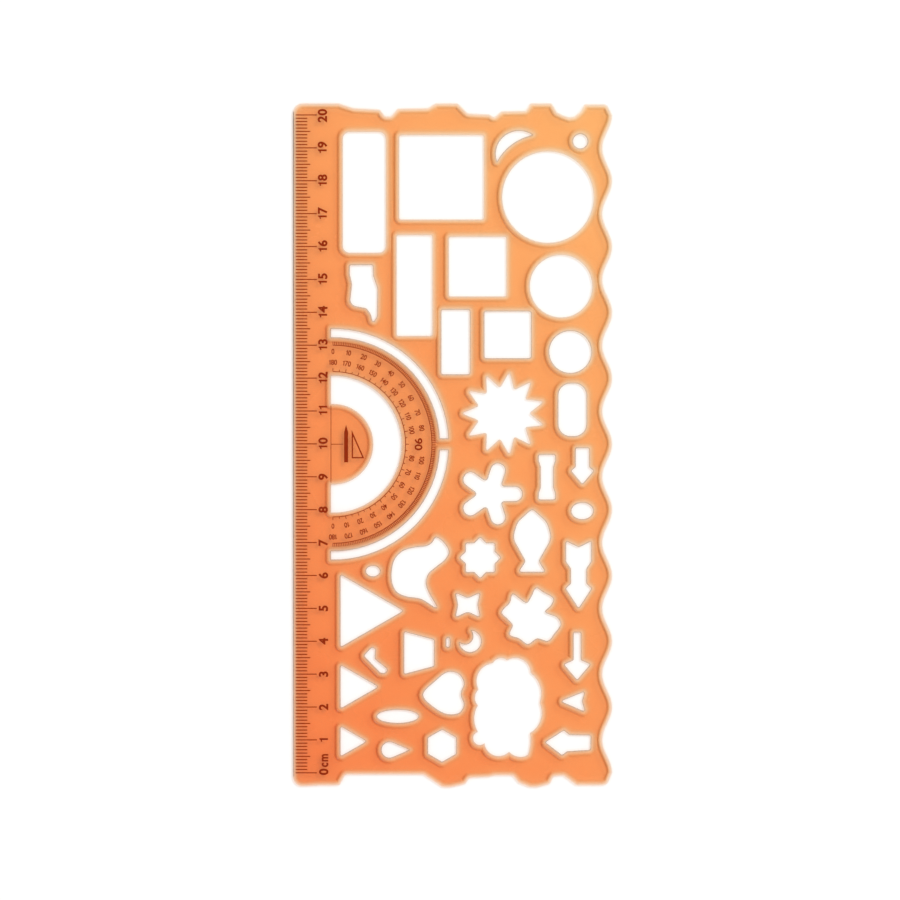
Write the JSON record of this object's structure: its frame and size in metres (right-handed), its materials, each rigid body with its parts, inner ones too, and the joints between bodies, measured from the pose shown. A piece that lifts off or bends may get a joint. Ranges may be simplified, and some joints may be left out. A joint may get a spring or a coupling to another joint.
{
  "type": "drafting template",
  "caption": "Flat translucent orange drawing template with a centimetre rule edge, a protractor, a wavy edge and many stencil openings.",
  "frame": {"origin": "middle of the plate's underside: the middle of its width and of its length, at the face it lies on", "axes": "+Y along the ruled edge, from the zero end to the 20 cm end; +X from the ruled edge across to the wavy edge; +Z out of the printed face"},
  "size_m": [0.0972, 0.2082, 0.0016],
  "materials": {
    "orange_plastic": "moulded translucent orange plastic, glossy",
    "brown_ink": "dark brown printed ink"
  },
  "bodies": {
    "root": {"template_plate": "orange_plastic", "ruler_graduations": "brown_ink", "protractor_outer_scale": "brown_ink", "protractor_inner_scale": "brown_ink", "protractor_base_line": "brown_ink", "set_square_sign": "brown_ink", "pencil_sign": "brown_ink"}
  },
  "joints": []
}
